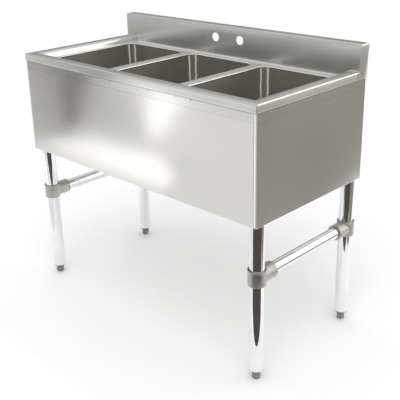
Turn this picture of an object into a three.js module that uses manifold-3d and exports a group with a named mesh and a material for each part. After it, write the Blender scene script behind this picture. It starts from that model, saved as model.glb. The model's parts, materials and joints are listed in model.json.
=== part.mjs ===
// A small three compartment sink on four legs: a raised-rim top with a low backsplash, three deep
// bowls in a row behind a tall apron, four tube legs on screw feet, a crossbar at each end, and a
// basket drain in every bowl. Millimetres, +Z up, +X to the right of a person at the front (-Y).
// The origin is on the floor, under the middle of the object.
import * as THREE from "three";
import { mergeVertices } from "three/addons/utils/BufferGeometryUtils.js";
import Module from "manifold-3d";

const wasm = await Module();
wasm.setup();

// Driving dimensions
const WIDTH = 965;
const DEPTH = 476;
const RIM_HEIGHT = 787;
const SPLASH_RISE = 76;
const SPLASH_DEPTH = 42;
const SHEET = 1.2;
const GAP = 0.3;

const BAND_HEIGHT = 22;
const BAND_BEND = 3;
const RIM_FLAT = 28;
const RIM_ROLL = 14;
const RIM_COVE = 4;
const RIM_LEAN = THREE.MathUtils.degToRad(20);
const DECK_DROP = 20;
const COVE_FOOT = 12;
const COVE_BEND = 6;
const SPLASH_FRONT_BEND = 4;
const SPLASH_BACK_BEND = 8;
const SPLASH_FLANGE = 24;

const BOWL_WIDTH = 254;
const BOWL_LENGTH = 356;
const BOWL_DEPTH = 254;
const BOWL_CORNER = 25;
const BOWL_COVE = 18;
const BOWL_LIP = 12;
const DIVIDER = 46.5;
const FRONT_MARGIN = 49;

const FAUCET_SPACING = 101.6;
const FAUCET_HOLE_RADIUS = 14;
const FAUCET_HEIGHT = 38;

const APRON_DROP = 320;
const APRON_INSET = SHEET + GAP;
const APRON_BACK_GAP = 4;
const APRON_TOP_GAP = 6;
const APRON_BEND = 2.5;
const APRON_CORNER_WRAP = 9;
const APRON_BACK_RETURN = 14;
const HEM_RETURN = 12;
const HEM_LIP = 10;

const LEG_RADIUS = 20.65;
const LEG_WALL = 1.5;
const LEG_SIDE_INSET = 27;
const LEG_FRONT_INSET = 38;
const LEG_BACK_INSET = 28;
const LEG_END = 29.5;
const LEG_TOP = 556;

const SOCKET_WALL = 2;
const SOCKET_BOTTOM = 470;
const SOCKET_SCREW_HEIGHT = 490;
const SOCKET_BOSS_LENGTH = 6;
const CHANNEL_HEIGHT = 560;
const CHANNEL_WIDTH = 48;
const CHANNEL_SHEET = 2;
const CHANNEL_BEND = 3;
const CHANNEL_LIP = 22;

const TEE_HEIGHT = 312;
const TEE_SLEEVE_RADIUS = 25;
const TEE_SLEEVE_LENGTH = 45;
const TEE_BRANCH_RADIUS = 22.5;
const TEE_BRANCH_REACH = 58;
const TUBE_CLEARANCE = 0.35;
const TEE_LIP = 0.8;
const TEE_LIP_HEIGHT = 3;
const BAR_SCREW_REACH = 46;
const BAR_RADIUS = 17.5;
const BAR_WALL = 1.5;
const BAR_START = 28;

const SCREW_RADIUS = 3.8;
const SCREW_LENGTH = 7;
const SCREW_KEY = 2.3;
const BOSS_RADIUS = 7;

const FOOT_HEX = 22;
const FOOT_TOP = 19.7;
const FOOT_POINT = 4;
const STEM_RADIUS = 5.9;
const STEM_CLEARANCE = 0.05;
const STEM_LENGTH = 36;
const PLUG_DEPTH = 30;
const PLUG_TIP_RADIUS = 12;

const DRAIN_HOLE_RADIUS = 43;
const DRAIN_FLANGE_RADIUS = 56;
const DRAIN_CUP_RADIUS = 42;
const DRAIN_CUP_DEPTH = 52;
const DRAIN_WALL = 2;
const SEAT_DROP = 20;
const SEAT_WIDTH = 3.5;
const OUTLET_RADIUS = 22;
const OUTLET_LENGTH = 34;
const NUT_RADIUS = 52;
const NUT_HEIGHT = 10;
const NUT_LUGS = 4;
const NUT_LUG = 8;
const WASHER_HEIGHT = 3;
const BASKET_LIP_RADIUS = 39.5;
const BASKET_WALL_RADIUS = 34;
const BASKET_DEPTH = 15;
const POST_RADIUS = 4;
const POST_HEIGHT = 10;
const KNOB_RADIUS = 9;
const KNOB_HEIGHT = 5;
const PIERCING_COUNT = 8;
const PIERCING_RADIUS = 3.5;
const PIERCING_CIRCLE = 20;

// Levels and faces that follow from them
const HALF_WIDTH = WIDTH / 2;
const HALF_DEPTH = DEPTH / 2;
const DECK_TOP = RIM_HEIGHT - DECK_DROP;
const BAND_BOTTOM = RIM_HEIGHT - BAND_HEIGHT;
const ROLL_Z = RIM_HEIGHT - RIM_ROLL;
const COVE_Z = DECK_TOP + RIM_COVE;
const SLOPE_RUN = (RIM_ROLL + RIM_COVE - (COVE_Z - ROLL_Z) * Math.sin(RIM_LEAN)) / Math.cos(RIM_LEAN);
const DECK_START = RIM_FLAT + SLOPE_RUN;
const SPLASH_TOP = RIM_HEIGHT + SPLASH_RISE;
const SPLASH_FACE = HALF_DEPTH - SPLASH_DEPTH;
const DECK_EDGE = SPLASH_FACE - COVE_FOOT;
const APRON_BOTTOM = RIM_HEIGHT - APRON_DROP;
const APRON_TOP = RIM_HEIGHT - APRON_TOP_GAP;
const APRON_X = HALF_WIDTH - APRON_INSET;
const APRON_FRONT = -HALF_DEPTH + APRON_INSET;
const APRON_BACK = HALF_DEPTH - APRON_BACK_GAP;
const BOWL_FRONT = -HALF_DEPTH + FRONT_MARGIN;
const BOWL_MIDDLE = BOWL_FRONT + BOWL_LENGTH / 2;
const BOWL_FLOOR = DECK_TOP - BOWL_DEPTH;
const BOWL_PITCH = BOWL_WIDTH + DIVIDER;
const LEG_X = HALF_WIDTH - LEG_SIDE_INSET;
const FRONT_LEG_Y = -HALF_DEPTH + LEG_FRONT_INSET;
const BACK_LEG_Y = HALF_DEPTH - LEG_BACK_INSET;
const SOCKET_BORE = LEG_RADIUS + TUBE_CLEARANCE;

const BOWLS = [
  ["left", -BOWL_PITCH],
  ["middle", 0],
  ["right", BOWL_PITCH],
];
const LEGS = [
  ["front_left", -LEG_X, FRONT_LEG_Y],
  ["front_right", LEG_X, FRONT_LEG_Y],
  ["back_left", -LEG_X, BACK_LEG_Y],
  ["back_right", LEG_X, BACK_LEG_Y],
];
const TUBE_STEPS = 24;
const SMALL_STEPS = 12;
const DRAIN_STEPS = 24;

// Materials
function metal(color, roughness) {
  return new THREE.MeshStandardMaterial({ color, roughness, metalness: 1 });
}
const brushedSteel = metal(0xb9b8b4, 0.34);
const apronSteel = metal(0xa9a7a1, 0.36);
const bowlSteel = metal(0x8d8a82, 0.3);
const chromeTube = metal(0xe6e8ea, 0.12);
const castMetal = metal(0x96948c, 0.55);
const galvanised = metal(0x9fa19f, 0.5);
const screwSteel = metal(0x55565a, 0.4);
const drainSteel = metal(0xc4c4c0, 0.22);
const rubber = new THREE.MeshStandardMaterial({ color: 0x1c1c1b, roughness: 0.85, metalness: 0 });

// Solids
function solidOf(geometry) {
  const bare = geometry.clone();
  bare.deleteAttribute("normal");
  bare.deleteAttribute("uv");
  const merged = mergeVertices(bare, 1e-4);
  const corners = merged.getIndex().array;
  const triVerts = [];
  for (let i = 0; i < corners.length; i += 3) {
    const [a, b, c] = corners.slice(i, i + 3);
    if (a !== b && b !== c && c !== a) triVerts.push(a, b, c);
  }
  return new wasm.Manifold(
    new wasm.Mesh({
      numProp: 3,
      vertProperties: Float32Array.from(merged.getAttribute("position").array),
      triVerts: Uint32Array.from(triVerts),
    }),
  );
}

function geometryOf(solid) {
  const mesh = solid.getMesh();
  const geometry = new THREE.BufferGeometry();
  geometry.setAttribute("position", new THREE.BufferAttribute(mesh.vertProperties, 3));
  geometry.setIndex(new THREE.BufferAttribute(mesh.triVerts, 1));
  geometry.computeVertexNormals();
  return geometry;
}

function join(solids) {
  return solids.reduce((whole, solid) => whole.add(solid));
}

function cut(solid, cutters) {
  return cutters.reduce((rest, cutter) => rest.subtract(cutter), solid);
}

// The same outline without its doubled points and the points in the middle of a straight side
function cleanOutline(points) {
  const apart = points.filter((p, i) => p.distanceTo(points[(i + 1) % points.length]) > 1e-3);
  return apart.filter((p, i) => {
    const before = apart[(i + apart.length - 1) % apart.length];
    const after = apart[(i + 1) % apart.length];
    return Math.abs(p.clone().sub(before).cross(after.clone().sub(p))) > 1e-5;
  });
}

// A shape drawn in YZ and drawn out along X, in XZ along Y, or in XY along Z
function drawOut(axis, shape, from, to, steps = 3) {
  const outline = new THREE.Shape(cleanOutline(shape.getPoints(steps)));
  const geometry = new THREE.ExtrudeGeometry(outline, { depth: to - from, bevelEnabled: false });
  const x = new THREE.Vector3(1, 0, 0);
  const y = new THREE.Vector3(0, 1, 0);
  const z = new THREE.Vector3(0, 0, 1);
  if (axis === "x") {
    geometry.applyMatrix4(new THREE.Matrix4().makeBasis(y, z, x).setPosition(from, 0, 0));
  } else if (axis === "y") {
    const turn = new THREE.Matrix4().makeBasis(x, z, y.negate());
    geometry.applyMatrix4(turn.setPosition(0, to, 0));
  } else {
    geometry.translate(0, 0, from);
  }
  return solidOf(geometry);
}

function block(x0, x1, y0, y1, z0, z1) {
  const geometry = new THREE.BoxGeometry(x1 - x0, y1 - y0, z1 - z0);
  geometry.translate((x0 + x1) / 2, (y0 + y1) / 2, (z0 + z1) / 2);
  return solidOf(geometry);
}

// A closed ring of [radius, height] points turned round the Z axis
function revolve(points, steps) {
  const ring = points.map(([radius, height]) => new THREE.Vector2(radius, height));
  if (THREE.ShapeUtils.isClockWise(ring)) ring.reverse();
  if (points.every(([radius]) => radius > 0)) ring.push(ring[0].clone());
  const geometry = new THREE.LatheGeometry(ring, steps);
  geometry.rotateX(Math.PI / 2);
  return solidOf(geometry);
}

// A round bar along X, Y or Z, centred on the point and of the given length
function rod(axis, radius, length, point, steps = SMALL_STEPS) {
  const geometry = new THREE.CylinderGeometry(radius, radius, length, steps);
  if (axis === "x") geometry.rotateZ(Math.PI / 2);
  if (axis === "z") geometry.rotateX(Math.PI / 2);
  geometry.translate(...point);
  return solidOf(geometry);
}

function roundedRectangle(width, length, radius) {
  const x = width / 2 - radius;
  const y = length / 2 - radius;
  const shape = new THREE.Shape();
  shape.absarc(x, y, radius, 0, Math.PI / 2);
  shape.absarc(-x, y, radius, Math.PI / 2, Math.PI);
  shape.absarc(-x, -y, radius, Math.PI, Math.PI * 1.5);
  shape.absarc(x, -y, radius, Math.PI * 1.5, Math.PI * 2);
  return shape;
}

// A flat plate of the given shape and thickness, over the middle of a bowl
function plate(shape, bottom, thickness, x) {
  const geometry = new THREE.ExtrudeGeometry(shape, {
    depth: thickness,
    bevelEnabled: false,
    curveSegments: 2,
  });
  geometry.translate(x, BOWL_MIDDLE, bottom);
  return solidOf(geometry);
}

// The section of a bent sheet. The corners lie on one face, the sheet's thickness is to their
// left, and every inner corner is bent to the given radius.
function bentSheet(corners, bend, thickness = SHEET, steps = 3) {
  const face = [];
  const back = [];
  const put = (point, normal) => {
    face.push(point);
    back.push(point.clone().addScaledVector(normal, thickness));
  };
  const points = corners.map(([x, y]) => new THREE.Vector2(x, y));
  const leftOf = (direction) => new THREE.Vector2(-direction.y, direction.x);
  const last = points.length - 1;
  const headings = points.slice(1).map((point, i) => point.clone().sub(points[i]).normalize());
  put(points[0], leftOf(headings[0]));
  for (let i = 1; i < last; i += 1) {
    const turn = headings[i - 1].cross(headings[i]);
    const angle = Math.acos(headings[i - 1].dot(headings[i]));
    const start = points[i].clone().addScaledVector(headings[i - 1], -bend * Math.tan(angle / 2));
    const centre = start.clone().addScaledVector(leftOf(headings[i - 1]), bend * Math.sign(turn));
    for (let step = 0; step <= steps; step += 1) {
      const swept = (angle * step * Math.sign(turn)) / steps;
      const point = start.clone().rotateAround(centre, swept);
      put(point, leftOf(headings[i - 1]).rotateAround(new THREE.Vector2(), swept));
    }
  }
  put(points[last], leftOf(headings[last - 1]));
  return new THREE.Shape([...face, ...back.reverse()]);
}

// Top: rim, deck, backsplash and its end caps

// The rim's section as [distance in from the edge, height], with its top face lowered by offset
function rimOutline(offset, bottom) {
  const inner = DECK_START + RIM_COVE;
  const line = new THREE.Path();
  line.moveTo(offset, bottom);
  line.lineTo(offset, RIM_HEIGHT - BAND_BEND);
  line.absarc(BAND_BEND, RIM_HEIGHT - BAND_BEND, BAND_BEND - offset, Math.PI, Math.PI / 2, true);
  line.absarc(RIM_FLAT, ROLL_Z, RIM_ROLL - offset, Math.PI / 2, RIM_LEAN, true);
  line.absarc(DECK_START, COVE_Z, RIM_COVE + offset, Math.PI + RIM_LEAN, Math.PI * 1.5, false);
  line.lineTo(inner, DECK_TOP - offset);
  line.lineTo(inner, bottom);
  return line.getPoints(2);
}

function rimBlock(offset, bottom, back) {
  const outline = rimOutline(offset, bottom);
  const inner = outline[outline.length - 1].x;
  const section = (place) => new THREE.Shape(outline.map((p) => new THREE.Vector2(place(p.x), p.y)));
  const reach = HALF_WIDTH - offset;
  const front = -HALF_DEPTH + offset;
  return join([
    drawOut("x", section((u) => -HALF_DEPTH + u), -reach, reach),
    drawOut("y", section((u) => -HALF_WIDTH + u), front, back),
    drawOut("y", section((u) => HALF_WIDTH - u), front, back),
    block(
      -HALF_WIDTH + inner - 1,
      HALF_WIDTH - inner + 1,
      -HALF_DEPTH + inner - 1,
      back,
      bottom,
      DECK_TOP - offset,
    ),
  ]);
}

function topDeck() {
  const back = SPLASH_FACE - GAP;
  const skin = rimBlock(0, BAND_BOTTOM, back).subtract(rimBlock(SHEET, BAND_BOTTOM - 1, back + 1));
  const openings = BOWLS.map(([, x]) => {
    const shape = roundedRectangle(BOWL_WIDTH, BOWL_LENGTH, BOWL_CORNER);
    return plate(shape, DECK_TOP - 5, 10, x);
  });
  const coveX = HALF_WIDTH - DECK_START;
  const coveRoom = block(-coveX, coveX, DECK_EDGE - GAP, back + 1, DECK_TOP - 5, DECK_TOP + 0.02);
  return cut(skin, [...openings, coveRoom]);
}

function backsplash() {
  const face = bentSheet(
    [
      [SPLASH_FACE, BAND_BOTTOM],
      [SPLASH_FACE, SPLASH_TOP],
      [HALF_DEPTH - SPLASH_BACK_BEND * 2, SPLASH_TOP],
    ].reverse(),
    SPLASH_FRONT_BEND,
  );
  const back = bentSheet(
    [
      [SPLASH_FACE + SPLASH_FRONT_BEND * 2, SPLASH_TOP],
      [HALF_DEPTH, SPLASH_TOP],
      [HALF_DEPTH, SPLASH_TOP - SPLASH_FLANGE],
    ].reverse(),
    SPLASH_BACK_BEND,
    SHEET,
    4,
  );
  const cove = bentSheet(
    [
      [SPLASH_FACE, DECK_TOP + COVE_BEND * 2],
      [SPLASH_FACE, DECK_TOP],
      [DECK_EDGE, DECK_TOP],
    ],
    COVE_BEND,
    SHEET,
    4,
  );
  const coveX = HALF_WIDTH - DECK_START - GAP;
  const holes = [-1, 1].map((side) =>
    rod(
      "y",
      FAUCET_HOLE_RADIUS,
      10,
      [(side * FAUCET_SPACING) / 2, SPLASH_FACE, RIM_HEIGHT + FAUCET_HEIGHT],
      DRAIN_STEPS,
    ),
  );
  const sheet = join([
    drawOut("x", face, -HALF_WIDTH, HALF_WIDTH),
    drawOut("x", back, -HALF_WIDTH, HALF_WIDTH),
    drawOut("x", cove, -coveX, coveX),
  ]);
  return cut(sheet, holes);
}

function endCap(side) {
  const inset = SHEET + GAP;
  const front = SPLASH_FACE + inset;
  const back = HALF_DEPTH - inset;
  const top = SPLASH_TOP - inset;
  const frontBend = SPLASH_FRONT_BEND - inset;
  const backBend = SPLASH_BACK_BEND - inset;
  const shape = new THREE.Shape();
  shape.moveTo(front, BAND_BOTTOM);
  shape.lineTo(back, BAND_BOTTOM);
  shape.absarc(back - backBend, top - backBend, backBend, 0, Math.PI / 2, false);
  shape.absarc(front + frontBend, top - frontBend, frontBend, Math.PI / 2, Math.PI, false);
  const outer = side * HALF_WIDTH;
  const inner = side * (HALF_WIDTH - SHEET);
  return drawOut("x", shape, Math.min(inner, outer), Math.max(inner, outer), 2);
}

// Bowls

function bowlShell(offset, top) {
  const shape = roundedRectangle(
    BOWL_WIDTH + 2 * offset,
    BOWL_LENGTH + 2 * offset,
    BOWL_CORNER + offset,
  );
  const bend = BOWL_COVE + offset;
  const bottom = BOWL_FLOOR - offset;
  const geometry = new THREE.ExtrudeGeometry(shape, {
    depth: top - bottom,
    curveSegments: 2,
    bevelThickness: bend,
    bevelSize: bend,
    bevelOffset: -bend,
    bevelSegments: 3,
  });
  geometry.translate(0, BOWL_MIDDLE, bottom + bend);
  const above = block(-WIDTH, WIDTH, -DEPTH, DEPTH, top, top + 4 * bend);
  return solidOf(geometry).subtract(above);
}

function bowl() {
  const lipTop = DECK_TOP - SHEET - GAP;
  const lipShape = roundedRectangle(
    BOWL_WIDTH + 2 * BOWL_LIP,
    BOWL_LENGTH + 2 * BOWL_LIP,
    BOWL_CORNER + BOWL_LIP,
  );
  const lip = plate(lipShape, lipTop - SHEET, SHEET, 0);
  const outside = bowlShell(SHEET, lipTop).add(lip);
  const drain = rod("z", DRAIN_HOLE_RADIUS, 20, [0, BOWL_MIDDLE, BOWL_FLOOR], DRAIN_STEPS);
  return cut(outside, [bowlShell(0, lipTop + 1), drain]);
}

// Aprons

function frontApron() {
  const reach = APRON_X - APRON_CORNER_WRAP - GAP;
  const inner = APRON_FRONT + HEM_RETURN;
  const section = bentSheet(
    [
      [APRON_FRONT, APRON_TOP],
      [APRON_FRONT, APRON_BOTTOM],
      [inner, APRON_BOTTOM],
      [inner, APRON_BOTTOM + HEM_LIP],
    ],
    APRON_BEND,
  );
  return drawOut("x", section, -reach, reach);
}

function sideApron(side) {
  const face = side * APRON_X;
  const plan = [
    [side * (APRON_X - APRON_CORNER_WRAP), APRON_FRONT],
    [face, APRON_FRONT],
    [face, APRON_BACK],
    [side * (APRON_X - APRON_BACK_RETURN), APRON_BACK],
  ];
  const inner = side * (APRON_X - HEM_RETURN);
  const hem = [
    [face, APRON_BOTTOM + HEM_LIP * 2],
    [face, APRON_BOTTOM],
    [inner, APRON_BOTTOM],
    [inner, APRON_BOTTOM + HEM_LIP],
  ];
  const wall = bentSheet(side > 0 ? plan : plan.reverse(), APRON_BEND);
  const fold = bentSheet(side > 0 ? hem.reverse() : hem, APRON_BEND);
  const hemFront = APRON_FRONT + HEM_RETURN + 2;
  const hemBack = APRON_BACK - APRON_BEND - SHEET;
  const hemRoom = block(-WIDTH, WIDTH, hemFront, hemBack, APRON_BOTTOM - 1, APRON_BOTTOM + APRON_BEND);
  const folded = drawOut("y", fold, hemFront - SHEET, hemBack + SHEET);
  const capRoom = block(-WIDTH, WIDTH, SPLASH_FACE - GAP, DEPTH, BAND_BOTTOM - GAP, RIM_HEIGHT);
  const notchX = [side * (APRON_X - HEM_RETURN - 1), side * (APRON_X - APRON_BEND - 1)];
  const notchReach = SOCKET_BORE + SOCKET_WALL + 4;
  const legNotches = [FRONT_LEG_Y, BACK_LEG_Y].map((y) =>
    block(
      Math.min(...notchX),
      Math.max(...notchX),
      y - notchReach,
      y + notchReach,
      APRON_BOTTOM - 1,
      APRON_BOTTOM + HEM_LIP + 1,
    ),
  );
  const panel = drawOut("z", wall, APRON_BOTTOM, APRON_TOP).subtract(hemRoom).add(folded);
  return cut(panel, [capRoom, ...legNotches]);
}

// Leg channels, sockets, legs and crossbars

function legChannel(side) {
  const outer = side * (APRON_X - SHEET - GAP);
  const inner = outer - side * CHANNEL_WIDTH;
  const corners = [
    [outer, CHANNEL_HEIGHT + CHANNEL_LIP],
    [outer, CHANNEL_HEIGHT],
    [inner, CHANNEL_HEIGHT],
    [inner, CHANNEL_HEIGHT + CHANNEL_LIP],
  ];
  const section = bentSheet(side > 0 ? corners.reverse() : corners, CHANNEL_BEND, CHANNEL_SHEET);
  return drawOut("y", section, APRON_FRONT + APRON_BEND + GAP, APRON_BACK - APRON_BEND - GAP);
}

function socket(inward) {
  const outer = SOCKET_BORE + SOCKET_WALL;
  const top = CHANNEL_HEIGHT - GAP;
  const cup = revolve(
    [
      [0, top],
      [outer, top],
      [outer, SOCKET_BOTTOM],
      [SOCKET_BORE, SOCKET_BOTTOM],
      [SOCKET_BORE, top - SOCKET_WALL],
      [0, top - SOCKET_WALL],
    ],
    TUBE_STEPS,
  );
  const boss = rod("y", BOSS_RADIUS, SOCKET_BOSS_LENGTH, [
    0,
    inward * (outer + SOCKET_BOSS_LENGTH / 2 - 1.5),
    SOCKET_SCREW_HEIGHT,
  ]);
  const holePlace = [0, inward * outer, SOCKET_SCREW_HEIGHT];
  const hole = rod("y", SCREW_RADIUS + GAP, 2 * SOCKET_BOSS_LENGTH, holePlace);
  const bore = rod("z", SOCKET_BORE, 60, [0, 0, SOCKET_SCREW_HEIGHT], TUBE_STEPS);
  return cut(cup.add(boss), [hole, bore]);
}

// A headless screw pointing outward along Y or Z from a round bar of the given radius, with a
// hexagonal recess in its outer end
function setScrew(axis, outward, barRadius) {
  const start = barRadius + GAP;
  const along = (distance) => (axis === "y" ? [0, outward * distance, 0] : [0, 0, outward * distance]);
  const body = rod(axis, SCREW_RADIUS, SCREW_LENGTH, along(start + SCREW_LENGTH / 2));
  const recess = rod(axis, SCREW_KEY, SCREW_LENGTH, along(start + SCREW_LENGTH), 6);
  return body.subtract(recess);
}

function leg() {
  return revolve(
    [
      [LEG_RADIUS, LEG_END],
      [LEG_RADIUS, LEG_TOP],
      [LEG_RADIUS - LEG_WALL, LEG_TOP],
      [LEG_RADIUS - LEG_WALL, LEG_END],
    ],
    TUBE_STEPS,
  );
}

// A cast tee with a lip round the top of its sleeve, a branch along Y for the crossbar, and two
// tapped holes: one at the branch's root for the leg's screw, one under the branch for the bar's
function tee(inward) {
  const half = TEE_SLEEVE_LENGTH / 2;
  const edge = TEE_SLEEVE_RADIUS + TEE_LIP;
  const sleeve = revolve(
    [
      [0, TEE_HEIGHT - half],
      [TEE_SLEEVE_RADIUS, TEE_HEIGHT - half],
      [TEE_SLEEVE_RADIUS, TEE_HEIGHT + half - TEE_LIP_HEIGHT],
      [edge, TEE_HEIGHT + half - TEE_LIP_HEIGHT],
      [edge, TEE_HEIGHT + half],
      [0, TEE_HEIGHT + half],
    ],
    TUBE_STEPS,
  );
  const branchMiddle = [0, (inward * TEE_BRANCH_REACH) / 2, TEE_HEIGHT];
  const branch = rod("y", TEE_BRANCH_RADIUS, TEE_BRANCH_REACH, branchMiddle, TUBE_STEPS);
  const legBore = rod("z", SOCKET_BORE, 2 * TEE_SLEEVE_LENGTH, [0, 0, TEE_HEIGHT], TUBE_STEPS);
  const barBoreStart = BAR_START - 1;
  const barBoreLength = TEE_BRANCH_REACH - barBoreStart + 5;
  const barBoreMiddle = [0, inward * (barBoreStart + barBoreLength / 2), TEE_HEIGHT];
  const barBore = rod("y", BAR_RADIUS + TUBE_CLEARANCE, barBoreLength, barBoreMiddle, TUBE_STEPS);
  const hole = SCREW_RADIUS + GAP;
  const legScrewHole = rod("y", hole, 14, [0, inward * TEE_SLEEVE_RADIUS, TEE_HEIGHT]);
  const barScrewPlace = [0, inward * BAR_SCREW_REACH, TEE_HEIGHT - TEE_BRANCH_RADIUS];
  const barScrewHole = rod("z", hole, 14, barScrewPlace);
  return cut(sleeve.add(branch), [legBore, barBore, legScrewHole, barScrewHole]);
}

function crossbar() {
  const start = FRONT_LEG_Y + BAR_START;
  const end = BACK_LEG_Y - BAR_START;
  const middle = [0, (start + end) / 2, TEE_HEIGHT];
  const tube = rod("y", BAR_RADIUS, end - start, middle, TUBE_STEPS);
  const bore = rod("y", BAR_RADIUS - BAR_WALL, end - start + 2, middle, TUBE_STEPS);
  return tube.subtract(bore);
}

// Feet

function legPlug() {
  const bore = STEM_RADIUS + STEM_CLEARANCE;
  const tube = LEG_RADIUS - LEG_WALL - GAP;
  return revolve(
    [
      [bore, FOOT_TOP + GAP],
      [PLUG_TIP_RADIUS, FOOT_TOP + GAP],
      [LEG_RADIUS, LEG_END - GAP - 1],
      [LEG_RADIUS, LEG_END - GAP],
      [tube, LEG_END - GAP],
      [tube, LEG_END + PLUG_DEPTH],
      [bore, LEG_END + PLUG_DEPTH],
    ],
    TUBE_STEPS,
  );
}

function foot() {
  const corner = FOOT_HEX / 2 / Math.cos(Math.PI / 6);
  const body = revolve(
    [
      [0, 0],
      [corner - 3, 0],
      [corner, FOOT_POINT],
      [corner, FOOT_TOP],
      [0, FOOT_TOP],
    ],
    6,
  );
  const overlap = 2;
  const length = STEM_LENGTH + overlap;
  return body.add(rod("z", STEM_RADIUS, length, [0, 0, FOOT_TOP - overlap + length / 2], TUBE_STEPS));
}

// Drains

function drainBody() {
  const top = BOWL_FLOOR + GAP;
  const cupBottom = top - DRAIN_CUP_DEPTH;
  const inner = DRAIN_CUP_RADIUS - DRAIN_WALL;
  return revolve(
    [
      [OUTLET_RADIUS, cupBottom - OUTLET_LENGTH],
      [OUTLET_RADIUS, cupBottom],
      [DRAIN_CUP_RADIUS, cupBottom + 14],
      [DRAIN_CUP_RADIUS, top],
      [DRAIN_FLANGE_RADIUS, top],
      [DRAIN_FLANGE_RADIUS - 1, top + 1.6],
      [DRAIN_CUP_RADIUS, top + 1.6],
      [inner, top - 4],
      [inner, top - SEAT_DROP],
      [inner - SEAT_WIDTH, top - SEAT_DROP],
      [inner - SEAT_WIDTH, cupBottom + 15],
      [OUTLET_RADIUS - DRAIN_WALL, cupBottom + 3],
      [OUTLET_RADIUS - DRAIN_WALL, cupBottom - OUTLET_LENGTH],
    ],
    DRAIN_STEPS,
  );
}

function drainWasher() {
  const top = BOWL_FLOOR - SHEET - GAP;
  const inner = DRAIN_CUP_RADIUS + GAP;
  return revolve(
    [
      [inner, top - WASHER_HEIGHT],
      [NUT_RADIUS + 1, top - WASHER_HEIGHT],
      [NUT_RADIUS + 1, top],
      [inner, top],
    ],
    DRAIN_STEPS,
  );
}

function drainNut() {
  const top = BOWL_FLOOR - SHEET - WASHER_HEIGHT - 2 * GAP;
  const inner = DRAIN_CUP_RADIUS + GAP;
  const bottom = top - NUT_HEIGHT;
  const ring = revolve(
    [
      [inner, bottom],
      [NUT_RADIUS - 4, bottom],
      [NUT_RADIUS - 4, top - 4],
      [NUT_RADIUS, top - 3],
      [NUT_RADIUS, top],
      [inner, top],
    ],
    DRAIN_STEPS,
  );
  const lugHeight = NUT_HEIGHT - 2;
  const lugs = Array.from({ length: NUT_LUGS }, (_, i) => {
    const lug = new THREE.BoxGeometry(NUT_LUG, NUT_LUG, lugHeight);
    lug.translate(NUT_RADIUS - 2, 0, bottom + lugHeight / 2);
    lug.rotateZ((i * Math.PI * 2) / NUT_LUGS);
    return solidOf(lug);
  });
  return join([ring, ...lugs]);
}

// A lift-out strainer basket: a cup with a pierced floor that hangs by its lip on the drain's
// seat, and a post with a knob to lift it by
function basket() {
  const seat = BOWL_FLOOR + GAP - SEAT_DROP + GAP;
  const floor = seat - BASKET_DEPTH;
  const cup = revolve(
    [
      [0, floor],
      [BASKET_WALL_RADIUS, floor],
      [BASKET_WALL_RADIUS, seat],
      [BASKET_LIP_RADIUS, seat],
      [BASKET_LIP_RADIUS, seat + SHEET],
      [BASKET_WALL_RADIUS - SHEET, seat + SHEET],
      [BASKET_WALL_RADIUS - SHEET, floor + SHEET],
      [POST_RADIUS, floor + SHEET],
      [POST_RADIUS, seat + POST_HEIGHT - 4],
      [KNOB_RADIUS, seat + POST_HEIGHT],
      [KNOB_RADIUS - 1, seat + POST_HEIGHT + KNOB_HEIGHT],
      [0, seat + POST_HEIGHT + KNOB_HEIGHT],
    ],
    DRAIN_STEPS,
  );
  const piercings = Array.from({ length: PIERCING_COUNT }, (_, i) => {
    const angle = (i * Math.PI * 2) / PIERCING_COUNT;
    const x = PIERCING_CIRCLE * Math.cos(angle);
    const y = PIERCING_CIRCLE * Math.sin(angle);
    return rod("z", PIERCING_RADIUS, 6, [x, y, floor], 8);
  });
  return cut(cup, piercings);
}

// Assembly
const sink = new THREE.Group();

function place(name, solid, material, x = 0, y = 0, z = 0) {
  const mesh = new THREE.Mesh(geometryOf(solid), material);
  mesh.name = name;
  mesh.position.set(x, y, z);
  sink.add(mesh);
}

place("top_deck", topDeck(), brushedSteel);
place("backsplash", backsplash(), brushedSteel);
place("front_apron", frontApron(), apronSteel);
for (const [name, side] of [["left", -1], ["right", 1]]) {
  place(`splash_end_cap_${name}`, endCap(side), brushedSteel);
  place(`side_apron_${name}`, sideApron(side), apronSteel);
  place(`leg_channel_${name}`, legChannel(side), galvanised);
  place(`crossbar_${name}`, crossbar(), chromeTube, side * LEG_X);
}
for (const [name, x] of BOWLS) {
  place(`bowl_${name}`, bowl(), bowlSteel, x);
  place(`drain_body_${name}`, drainBody(), drainSteel, x, BOWL_MIDDLE);
  place(`drain_washer_${name}`, drainWasher(), rubber, x, BOWL_MIDDLE);
  place(`drain_locknut_${name}`, drainNut(), castMetal, x, BOWL_MIDDLE);
  place(`strainer_basket_${name}`, basket(), drainSteel, x, BOWL_MIDDLE);
}
for (const [name, x, y] of LEGS) {
  const inward = -Math.sign(y);
  const legScrew = setScrew("y", inward, LEG_RADIUS);
  const barScrew = setScrew("z", -1, BAR_RADIUS);
  const barScrewY = y + inward * BAR_SCREW_REACH;
  place(`leg_${name}`, leg(), chromeTube, x, y);
  place(`leg_socket_${name}`, socket(inward), galvanised, x, y);
  place(`socket_screw_${name}`, legScrew, screwSteel, x, y, SOCKET_SCREW_HEIGHT);
  place(`tee_${name}`, tee(inward), castMetal, x, y);
  place(`tee_leg_screw_${name}`, legScrew, screwSteel, x, y, TEE_HEIGHT);
  place(`tee_bar_screw_${name}`, barScrew, screwSteel, x, barScrewY, TEE_HEIGHT);
  place(`leg_plug_${name}`, legPlug(), castMetal, x, y);
  place(`foot_${name}`, foot(), castMetal, x, y);
}

export default sink;
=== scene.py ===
"""Looks for a small three compartment sink on four tube legs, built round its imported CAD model.
Metres, +Z up, +X to the right of a person at the front (-Y), with the origin on the floor."""

import json
import math

import bmesh
import bpy
from mathutils import Matrix, Vector


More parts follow.
